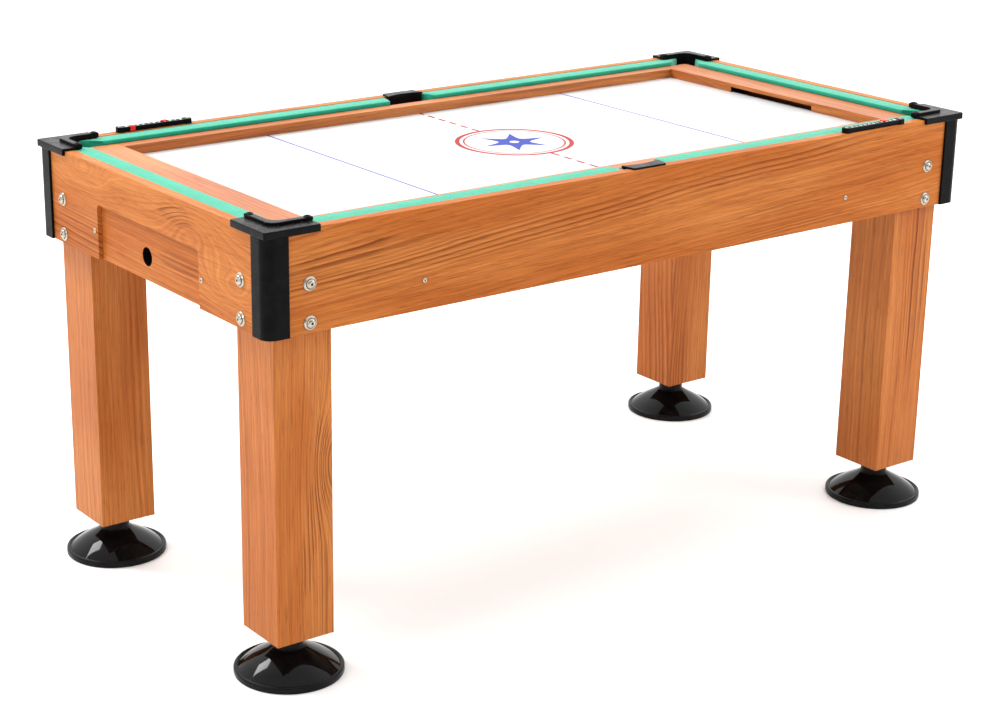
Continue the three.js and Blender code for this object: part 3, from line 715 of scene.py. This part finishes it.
def dress_the_rest():
    """Playing board, the boards underneath, and what shows of the fan."""
    dress("play_field", rink(), 0.3 * MM)
    boards = ["bed_board", "cross_beam_left", "cross_beam_right"]
    boards += ["field_batten_front", "field_batten_back"]
    boards += [f"bed_cleat_{side}_{half}" for side in ("front", "back") for half in "ab"]
    for node in boards:
        dress(node, BOARD, 0.5 * MM)
    dress("fan_frame", MOULDED, 0.5 * MM)
    dress("fan_guard", NICKEL, 0.4 * MM)


# ---------- cushions ----------


def cushion_section():
    """(inwards, height) outline of a cushion, from the outer face and the rail top."""
    back, nose = STRIP / MM + 0.4, CUSHION_NOSE / MM
    corners = [
        (back, -0.9, 0.6), (back, -7.6, 0.3), (22.4, -7.6, 0.3), (22.4, -37.6, 0.8),
        (36, -37.6, 2.0), (49.5, -15, 8.0), (nose, -7.2, 1.6), (nose, -0.6, 2.6), (38, 0, 20),
    ]
    return soften(in_mm(corners), steps=6)


def cushion(name, rail, start, end, start_flare, end_flare):
    """A rubber cushion under stretched cloth; its ends slant back to the rail."""
    section = cushion_section()
    middle = Vector([sum(axis) / len(section) for axis in zip(*section)])
    end_rounding = [(0.0, 2.2), (0.5, 1.1), (1.3, 0.4), (2.6, 0.0)]  # (along, inset)
    length = end - start
    stations = [(a * MM / length, inset * MM) for a, inset in end_rounding]
    count = max(2, round(length / (14 * MM)))
    stations += [(k / count, 0.0) for k in range(1, count)]
    stations += [(1 - a, inset) for a, inset in reversed(stations[:len(end_rounding)])]
    bm = bmesh.new()
    rings = []
    for share, inset in stations:
        ring = []
        for d, z in section:
            behind = CUSHION_NOSE - d
            x = (start - start_flare * behind) * (1 - share) + (end + end_flare * behind) * share
            inward = (middle - Vector((d, z))).normalized() * inset
            ripple = noise.noise(Vector((x * 45, d * 60, z * 60))) * 0.12 * MM
            height = RAIL_TOP + z + inward.y + (ripple if z < -1 * MM else 0)
            ring.append((x, d + inward.x, height))
        rings.append(ring)
    loft(bm, rings)
    obj = piece(f"{name}_cloth", bm, "table", CLOTH, [name], RAILS[rail])


def add_cushions():
    for rail in ("left", "right"):
        far = -FRONT - CORNER_NOSE
        cushion(f"cushion_{rail}", rail, -far, far, CORNER_FLARE, CORNER_FLARE)
    for rail in ("front", "back"):
        far = -LEFT - CORNER_NOSE
        cushion(f"cushion_{rail}_a", rail, -far, -SIDE_NOSE, CORNER_FLARE, SIDE_FLARE)
        cushion(f"cushion_{rail}_b", rail, SIDE_NOSE, far, SIDE_FLARE, CORNER_FLARE)


CLOTH_GAP = 0.03 * MM
CLOTH_THICK = 0.2 * MM


def add_bed_cloth():
    """Cloth stretched over the bed, seen in the pockets and when the field is off."""
    bm = bmesh.new()
    bm.from_mesh(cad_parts["bed_board"].data)
    bm.normal_update()
    others = [face for face in bm.faces if face.normal.z < 0.9]
    bmesh.ops.delete(bm, geom=others, context="FACES")
    bmesh.ops.remove_doubles(bm, verts=bm.verts, dist=0.01 * MM)
    area = sum(face.calc_area() for face in bm.faces)
    bmesh.ops.translate(bm, vec=(0, 0, CLOTH_GAP), verts=bm.verts)
    raise_faces(bm, bm.faces[:], CLOTH_THICK)
    obj = piece("bed_cloth", bm, "table", CLOTH)


# ---------- corner caps and posts ----------

CAP_ARM = 94 * MM  # how far each part of a cap reaches from the corner
BAND_ARM = 97 * MM
LINER_ARM = 56 * MM
BOSS = (90 * MM, 26 * MM)  # one screw boss of a cap; the other is its mirror image


def corner_sweep(bm, section, arm, steps=16):
    """Sweeps a closed (offset, height, corner radius) section round a rail corner."""
    paths = []
    for d, z, r in section:
        path = [(arm, d), *arc((d + r, d + r), r, 270, 180, steps), (d, arm)]
        paths.append([(x, y, RAIL_TOP + z) for x, y in path])
    loft(bm, list(zip(*paths)))


def cup(bm, outer, inner, low, floor, high):
    """An open cup between two outlines that have the same number of points."""
    levels = [(outer, low), (outer, high), (inner, high), (inner, floor)]
    loft(bm, [[(x, y, z) for x, y in outline] for outline, z in levels])


def corner_cup_outline(side, corner_radius, reach):
    """A quarter disc whose two straight sides meet in a round corner."""
    centre = 29 * MM
    radius = reach - centre
    start = math.degrees(math.asin((side - centre) / radius))
    corner = side + corner_radius
    outside = arc((centre, centre), radius, start, 90 - start, 20)
    return outside + arc((corner, corner), corner_radius, 180, 270, 10)


def corner_cap(name, place):
    """Plate and lip on the rails, raised band, pocket liner and cup, and two screws."""
    bm = bmesh.new()
    plate = soften([
        (-0.3, -7, 0.3), (-0.3, 0.02, 0), (31, 0.02, 0), (31, 5, 0), (-6, 5, 2.0), (-6, -7, 1.4),
    ])
    plate = [(d, z, max(0.4, -1 - d) if d < 0 else 21) for d, z in plate]
    corner_sweep(bm, in_mm(plate), CAP_ARM)
    band = soften([(20, 4.6, 0), (32, 1.2, 0), (32, 10, 1.4), (20, 10, 1.4)])
    corner_sweep(bm, in_mm([(d, z, 16 + (d - 20) / 3) for d, z in band]), BAND_ARM)
    liner = [(29, -51, 23), (31.9, -51, 20.1), (31.9, 3, 20.1), (29, 3, 23)]
    corner_sweep(bm, in_mm(liner), LINER_ARM)
    cup(
        bm,
        corner_cup_outline(29 * MM, 23 * MM, 84 * MM),
        corner_cup_outline(32 * MM, 20 * MM, 81 * MM),
        BED_BOTTOM, BED_BOTTOM + 3 * MM, BED_TOP - 0.3 * MM,
    )
    boss = [(0, 8), (3, 8), (3.1, 11), (3.6, 11.5), (5.2, 11.4), (6.0, 10.9), (6.4, 9.8), (6.4, 6), (0, 6)]
    boss = [(r * MM, RAIL_TOP + z * MM) for r, z in boss]
    for x, y in (BOSS, BOSS[::-1]):
        lathe(bm, boss, 32, Matrix.Translation((x, y, 0)))
    cap = piece(f"cap_{name}", bm, "table", RAIL_BLACK, [f"corner_cap_{name}"], place)
    ease(cap, 1.3 * MM, 3)

    bm = bmesh.new()
    for x, y in (BOSS, BOSS[::-1]):
        add_screw(bm, Matrix.Translation((x, y, RAIL_TOP + 8 * MM)) @ Matrix.Scale(0.62, 4))
    piece(f"cap_screws_{name}", bm, "table", SATIN, (), place)


def corner_post(name, place):
    """Black corner cover below a cap, with its round screw channel."""
    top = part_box(f"corner_post_{name}")[1].z
    corners = [
        (38, -4.6, 1.2), (38, -0.3, 0.3), (22, -0.3, 0.3), (22, 22, 1), (-0.3, 22, 0.3),
        (-0.3, 38, 0.3), (-4.6, 38, 1.2), (-4.6, -4.6, 20),
    ]
    outline = soften(in_mm(corners), steps=12)
    bm = bmesh.new()
    prism(bm, outline, APRON_BOTTOM, top, [arc((12 * MM, 12 * MM), 7 * MM, 0, 345, 23)])
    post = piece(f"post_{name}", bm, "table", MOULDED, [f"corner_post_{name}"], place)
    ease(post, 0.5 * MM, 2)


# ---------- bolts, screws and feet ----------


def polygon_reach(sides, flat):
    """How far out a regular polygon reaches at an angle, for its across-flats half."""
    def reach(angle):
        sector = 2 * math.pi / sides
        return flat / math.cos((angle + sector / 2) % sector - sector / 2)
    return reach


def cross_reach(arm, waist):
    """Outline of a cross recess."""
    def reach(angle):
        off = abs((angle + math.pi / 4) % (math.pi / 2) - math.pi / 4)
        return min(arm, waist / max(math.sin(off), 0.2))
    return reach


def add_bolt(bm, place):
    """Washer and domed head with a hexagon socket, standing on the local XY plane."""
    profile = in_mm([
        (0, 3.0), (2.1, 3.3), (2.1, 6.2), (2.6, 6.4), (4.2, 6.2), (5.8, 5.6), (7.2, 4.6), (7.9, 3.6),
        (8.1, 2.2), (8.7, 2.2), (8.8, 2.8), (9.8, 2.8), (10.5, 2.2), (11.2, 1.8), (11.8, 1.3),
        (12, 0.8), (12, 0.3), (11.7, 0.1), (4, 0.1), (4, -40), (0, -40),
    ])
    socket = polygon_reach(6, 2.0 * MM)

    def shape(index, angle):
        return socket(angle) if index in (1, 2) else profile[index][0]

    # The socket and the groove round the head take the second material, painted shade.
    lathe(bm, profile, 48, place, shape, second=(0, 1, 7, 8))  # socket, and groove round the head


def add_screw(bm, place):
    """Pan-head screw with a cross recess, standing on the local XY plane."""
    profile = in_mm([
        (0, 0.7), (1.1, 1.0), (2.3, 2.45), (2.7, 2.5), (3.4, 2.3), (4.0, 1.7),
        (4.3, 0.9), (4.3, 0.1), (4.1, 0), (1.9, 0), (1.9, -12), (0, -15),
    ])
    recess = {1: cross_reach(1.2 * MM, 0.35 * MM), 2: cross_reach(2.3 * MM, 0.55 * MM)}

    def shape(index, angle):
        return recess[index](angle) if index in recess else profile[index][0]

    # The cross recess takes the second material, painted shade.
    lathe(bm, profile, 48, place, shape, second=(0, 1))


OUTWARDS = Matrix.Rotation(math.pi / 2, 4, "X")  # local +Z to the rail frame's -Y


def leg_bolts(name, place):
    """Four bolts through a corner's two aprons, and the nut bracket inside."""
    bm = bmesh.new()
    mirror = Matrix(((0, 1, 0, 0), (1, 0, 0, 0), (0, 0, 1, 0), (0, 0, 0, 1)))
    for drop in BOLT_DROPS:
        seat = Matrix.Translation((BOLT_INSET, 0, RAIL_TOP - drop)) @ OUTWARDS
        add_bolt(bm, seat)
        add_bolt(bm, mirror @ seat)
    bracket = [(37.6, -168.5, 2), (37.6, -70, 2), (40.6, -70, 2), (40.6, -168.5, 2)]
    corner_sweep(bm, in_mm(bracket), 95 * MM, 6)
    piece(f"bolts_{name}", bm, "table", NICKEL, [f"leg_bolts_{name}"], place, PAINTED_GROOVE_SHADE)


def apron_screws():
    for rail, away in {"front": BEAM_X, "back": BEAM_X, "left": PANEL_SCREW_Y}.items():
        bm = bmesh.new()
        for x in (-away, away):
            add_screw(bm, Matrix.Translation((x, 0, RAIL_TOP - SCREW_DROP)) @ OUTWARDS)
        piece(f"apron_screws_{rail}", bm, "table", NICKEL, (), RAILS[rail], PAINTED_GROOVE_SHADE)


THREAD_PITCH = 1.75 * MM
THREAD_DEPTH = 0.9 * MM


def foot_stem(name, place):
    """Threaded rod between the foot and the leg."""
    radius = 6 * MM
    rows_per_turn, segments = 6, 24
    count = math.floor((STEM_HIGH - STEM_LOW) / THREAD_PITCH) * rows_per_turn
    rings = []
    for row in range(count + 1):
        z = STEM_LOW + row * THREAD_PITCH / rows_per_turn
        ring = []
        for k in range(segments):
            share = (row / rows_per_turn - k / segments) % 1
            depth = THREAD_DEPTH * abs(2 * share - 1)
            angle = 2 * math.pi * k / segments
            ring.append(((radius - depth) * math.cos(angle), (radius - depth) * math.sin(angle), z))
        rings.append(ring)
    bm = bmesh.new()
    loft(bm, rings)
    middle = place @ Matrix.Translation((LEG_CENTRE, LEG_CENTRE, 0))
    piece(f"stem_{name}", bm, f"stem_{name}", NICKEL, [f"foot_stem_{name}"], middle)


def foot_disc(name, place):
    """Levelling foot: satin neck and rim, polished dome with a bead round it."""
    middle = place @ Matrix.Translation((LEG_CENTRE, LEG_CENTRE, 0))
    neck_top = LEG_BOTTOM / MM - 0.3
    rim = FOOT_R / MM
    profile = [
        (0, 40), (6.4, 40), (6.4, neck_top), (23.6, neck_top), (24.6, neck_top - 0.4),
        (25, neck_top - 1.4), (25, 52), (25.3, 49), (26.4, 47.2), (28.4, 45.8), (29.4, 45.2),
        (38, 40.2), (48, 35.0), (58, 29.2), (67, 23.4), (75, 17.8), (81, 13.2), (rim - 7.6, 11.0),
        (rim - 6.8, 10.4), (rim - 6, 10.7), (rim - 5.2, 11.7), (rim - 4, 12.1), (rim - 2.4, 12.0),
        (rim - 1, 11.2), (rim - 0.1, 9.8), (rim, 8.5), (rim, 2), (rim - 0.6, 0.6), (rim - 2, 0), (0, 0),
    ]
    bm = bmesh.new()
    lathe(bm, in_mm(profile), 128)
    obj = piece(f"foot_{name}", bm, f"foot_{name}", SATIN, [f"foot_disc_{name}"], middle)
    obj.data.materials.append(POLISHED)
    centre = middle.translation
    for face in obj.data.polygons:
        away = (face.center - centre).xy.length
        face.material_index = int(28.5 * MM < away < FOOT_R - 7 * MM and face.center.z > 5 * MM)


# ---------- side pockets ----------

MOUTH_HALF = 38 * MM
MOUTH_DEEP = 25 * MM


def mouth_arc(shift, reverse=False):
    """Edge of a side pocket's mouth, left to right unless reversed, shifted outwards."""
    rise = MOUTH - MOUTH_DEEP
    radius = (MOUTH_HALF ** 2 + rise ** 2) / (2 * rise)
    reach = math.degrees(math.asin(MOUTH_HALF / radius))
    points = arc((0, MOUTH_DEEP + radius - shift), radius, 270 - reach, 270 + reach, 20)
    return points[::-1] if reverse else points


def side_pocket(rail):
    """Plate with a curved mouth, the liner below the mouth, and the cup in the bed."""
    bm = bmesh.new()
    corners = [(41, MOUTH / MM, 1), (-41, MOUTH / MM, 1), (-35, 4, 3), (35, 4, 3)]
    edge = soften(in_mm(corners))
    first_corner = 5  # points in a rounded corner; the mouth starts after them
    plate = edge[:first_corner] + mouth_arc(0.1 * MM, True) + edge[first_corner:]
    stack(bm, plate, (RAIL_TOP, RAIL_TOP + 3.5 * MM))
    base = RAIL_TOP - 76 * MM
    liner = mouth_arc(2.5 * MM) + mouth_arc(0, True)
    stack(bm, liner, (base + 1 * MM, RAIL_TOP + 2.8 * MM))
    back = 22.5 * MM
    outer = arc((0, back), 43 * MM, 0, 180, 32)
    inner = arc((0, back), 40 * MM, 4.3, 175.7, 32)
    cup(bm, outer, inner, base, base + 3 * MM, BED_TOP - 0.3 * MM)
    obj = piece(f"pocket_{rail}", bm, "table", RAIL_BLACK, [f"side_pocket_{rail}"], RAILS[rail])
    ease(obj, 0.5 * MM, 2)


def hole_cup():
    """Closed black cup behind the hole in the end panel."""
    low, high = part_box("hole_cup")
    flange, depth = (high.z - low.z) / 2 / MM, (high.x - low.x) / MM
    profile = [
        (0, depth - 2), (15.5, depth - 2), (17, depth - 3), (17.5, depth - 4.5), (17.5, 0.3),
        (17.8, 0), (flange - 0.4, 0), (flange, 0.4), (flange, 1.6), (flange - 0.4, 2),
        (20.6, 2), (20, 2.6), (20, depth - 1), (19, depth), (0, depth),
    ]
    middle = Matrix.Translation((low.x, (low.y + high.y) / 2, (low.z + high.z) / 2))
    bm = bmesh.new()
    place = middle @ Matrix.Rotation(math.pi / 2, 4, "Y")
    lathe(bm, in_mm(profile), 64, place)
    piece("cup_behind_hole", bm, "table", MOULDED, ["hole_cup"])


# ---------- score counters ----------

NUMERAL_STEP = 11 * MM
NUMERAL_SIZE = 8 * MM
BAR_HALF = 62 * MM
BAR_TOP = 9 * MM


def on_counter(rail, along=0.0):
    """Frame on the rail at the middle of a counter, or along it from there."""
    return RAILS[rail] @ Matrix.Translation((COUNTER_X + along, COUNTER_INSET, RAIL_TOP))


def score_bar(rail):
    """Bar that the sliders clip over, a block at each end of it, and their screws."""
    place = on_counter(rail)
    bm = bmesh.new()
    section = in_mm(soften([
        (-4.5, 0, 0), (4.5, 0, 0), (4.5, 3, 0.3), (7, 3, 0.4), (7, 9, 0.9),
        (-7, 9, 0.9), (-7, 3, 0.4), (-4.5, 3, 0.3),
    ]))
    reach = BAR_HALF + 1 * MM
    loft(bm, [[(x, y, z) for y, z in section] for x in (-reach, reach)])
    block = soften([(62, -8.5, 0.5), (76, -8.5, 6), (76, 8.5, 6), (62, 8.5, 0.5)], steps=8)
    rows = [(0, 1.0), (8.2, 1.0), (9.1, 0.985), (9.6, 0.955)]
    for side in (1, -1):
        rings = []
        for z, keep in rows:
            ring = [(69 + (x - 69) * keep, y * keep) for x, y in block]
            rings.append(in_mm([(side * x, side * y, z) for x, y in ring]))
        loft(bm, rings)
    bar = piece(f"counter_{rail}", bm, "table", MOULDED, [f"score_bar_{rail}"], place)
    ease(bar, 0.25 * MM, 2)

    bm = bmesh.new()
    for side in (-1, 1):
        add_screw(bm, Matrix.Translation((side * 69 * MM, 0, 9.0 * MM)) @ Matrix.Scale(0.66, 4))
    piece(f"counter_screws_{rail}", bm, "table", NICKEL, (), place, PAINTED_GROOVE_SHADE)


def numerals(rail):
    """The numbers 0 to 10 along the top of a counter, as one flat mesh."""
    bm = bmesh.new()
    for number in range(11):
        curve = bpy.data.curves.new("numeral", "FONT")
        curve.body = str(number)
        curve.size = NUMERAL_SIZE
        curve.align_x = "CENTER"
        curve.align_y = "CENTER"
        curve.extrude = 0.04 * MM
        curve.offset = 0.32 * MM
        holder = bpy.data.objects.new("numeral", curve)
        link(holder)
        bpy.context.view_layer.update()
        mesh = bpy.data.meshes.new_from_object(holder)
        along = (number - 5) * NUMERAL_STEP
        narrow = Matrix.Scale(0.8, 4, (1, 0, 0))
        mesh.transform(Matrix.Translation((along, 0, BAR_TOP + 0.04 * MM)) @ narrow)
        bm.from_mesh(mesh)
        bpy.data.objects.remove(holder)
    piece(f"numerals_{rail}", bm, "table", WHITE_INK, (), on_counter(rail))


def slider(rail, letter, along, side):
    """Half clip that hooks over one side of the counter bar."""
    clip = in_mm(soften([
        (0.4, 9.25, 0), (7.35, 9.25, 0.3), (7.35, 2.7, 0.3), (5.1, 2.7, 0.2), (5.1, 1.2, 0.3),
        (8.8, 1.2, 0.8), (8.8, 10.8, 1.4), (0.4, 10.8, 0.5),
    ]))
    bm = bmesh.new()
    half = 5 * MM
    loft(bm, [[(x, y, z) for y, z in clip] for x in (-half, half)])
    place = on_counter(rail, along) @ Matrix.Rotation(0 if side > 0 else math.pi, 4, "Z")
    name = f"{rail}_{letter}"
    obj = piece(f"slider_{name}", bm, f"slider_{name}", RED, [f"score_slider_{name}"], place)
    ease(obj, 0.35 * MM, 2)


# ---------- fan ----------


def impeller():
    low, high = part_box("fan_impeller")
    base, top = low.z / MM, high.z / MM
    bm = bmesh.new()
    hub = [
        (0, base + 11), (4.3, base + 11), (4.3, base), (20, base),
        (21, base + 1), (21, top - 2), (19, top), (0, top),
    ]
    lathe(bm, in_mm(hub), 48)
    blades = 5
    for index in range(blades):
        rings = []
        for step in range(9):
            share = step / 8
            radius = (19 + 34.5 * share) * MM
            half_chord = (11 + 2.2 * share) * MM
            pitch = math.radians(52 - 16 * share)
            ring = []
            for k in range(12):
                around = 2 * math.pi * k / 12
                chord, thick = half_chord * math.cos(around), 0.9 * MM * math.sin(around)
                camber = 1.6 * MM * (1 - (chord / half_chord) ** 2)
                side = chord * math.cos(pitch) - (thick + camber) * math.sin(pitch)
                rise = chord * math.sin(pitch) + (thick + camber) * math.cos(pitch)
                ring.append((radius, side, (low.z + high.z) / 2 + rise * 0.92))
            rings.append(ring)
        turn = Matrix.Rotation(2 * math.pi * index / blades, 4, "Z")
        loft(bm, [[turn @ Vector(point) for point in ring] for ring in rings])
    piece("fan_wheel", bm, "impeller", MOULDED, ["fan_impeller"])


# ---------- the table ----------

dress_wood()
dress_the_rest()
add_cushions()
add_bed_cloth()
for corner, seat in CORNERS.items():
    corner_cap(corner, seat)
    corner_post(corner, seat)
    leg_bolts(corner, seat)
    foot_stem(corner, seat)
    foot_disc(corner, seat)
apron_screws()
for long_rail in ("front", "back"):
    side_pocket(long_rail)
    score_bar(long_rail)
    numerals(long_rail)
hole_cup()
slider("back", "inner", 47 * MM, 1)
slider("back", "outer", -23 * MM, -1)
slider("front", "inner", 31 * MM, 1)
impeller()

# ---------- floor, light and camera ----------


def add_floor():
    """A floor wide enough for every view."""
    mesh = bpy.data.meshes.new("floor")
    reach = 40
    corners = [(-reach, -reach, 0), (reach, -reach, 0), (reach, reach, 0), (-reach, reach, 0)]
    mesh.from_pydata(corners, [], [(0, 1, 2, 3)])
    floor = bpy.data.objects.new("floor", mesh)
    mesh.materials.append(pale_floor())
    link(floor)


def add_light(name, place, aim, size, power):
    """A soft rectangular light at place, turned towards aim."""
    data = bpy.data.lights.new(name, "AREA")
    data.shape = "RECTANGLE"
    data.size, data.size_y = size
    data.energy = power
    light = bpy.data.objects.new(name, data)
    light.location = place
    light.rotation_euler = (Vector(aim) - Vector(place)).to_track_quat("-Z", "Y").to_euler()
    link(light)


BACKDROP = (0.58, 0.81, 0.0)  # from the camera towards what is behind the table


def add_world():
    """White studio: bright overhead and behind the table, dim on the near side, white horizon."""
    world = bpy.data.worlds.new("studio")
    bpy.context.scene.world = world
    world.use_nodes = True
    w = Nodes(world.node_tree)
    direction = w.node("TexCoord").outputs["Generated"]
    height = w.split(direction)[Z]
    high = w.step(height, 0.25, 0.85)
    horizon = w.step(height, 0.06, 0.16, 1.1, 0.0)
    behind = w.step(w.vector("DOT_PRODUCT", direction, BACKDROP), -0.2, 0.8)
    strength = w.math("MULTIPLY_ADD", behind, 1.5, w.math("MULTIPLY_ADD", high, 1.75, 0.10))
    strength = w.math("MAXIMUM", strength, horizon)
    background = world.node_tree.nodes["Background"]
    background.inputs["Color"].default_value = (1.0, 1.0, 1.0, 1.0)
    w.feed(background.inputs["Strength"], strength)


# The photograph's camera, as fitted to the table's corners and edges; angles in degrees.
AIM = Vector((-0.2442, -0.0454, 0.3821))
AZIMUTH, ELEVATION, ROLL = -35.357, 18.568, 0.282
DISTANCE = 3.885
LENS = 77.906
SHIFT_X = 0.0817


def add_camera():
    azimuth, elevation = math.radians(AZIMUTH), math.radians(ELEVATION)
    back = Vector((
        math.sin(azimuth) * math.cos(elevation),
        -math.cos(azimuth) * math.cos(elevation),
        math.sin(elevation),
    ))
    data = bpy.data.cameras.new("camera")
    data.lens = LENS
    data.shift_x = SHIFT_X
    data.clip_start, data.clip_end = 0.1, 100
    camera = bpy.data.objects.new("camera", data)
    turn = (-back).to_track_quat("-Z", "Y").to_matrix().to_4x4()
    turn = turn @ Matrix.Rotation(math.radians(ROLL), 4, "Z")
    camera.matrix_world = Matrix.Translation(AIM + back * DISTANCE) @ turn
    link(camera)
    bpy.context.scene.camera = camera


add_floor()
add_world()
add_light("window", (-1.8, 2.1, 3.1), (-0.2, 0, 0.6), (0.75, 1.0), 75)
add_light("from_left", (-4.4, -0.6, 2.1), (0, 0, 0.6), (0.8, 1.2), 32)
add_light("from_right", (2.4, -2.6, 1.9), (0.4, 0, 0.4), (1.1, 1.1), 42)
add_camera()
bpy.context.scene.view_settings.view_transform = "Standard"
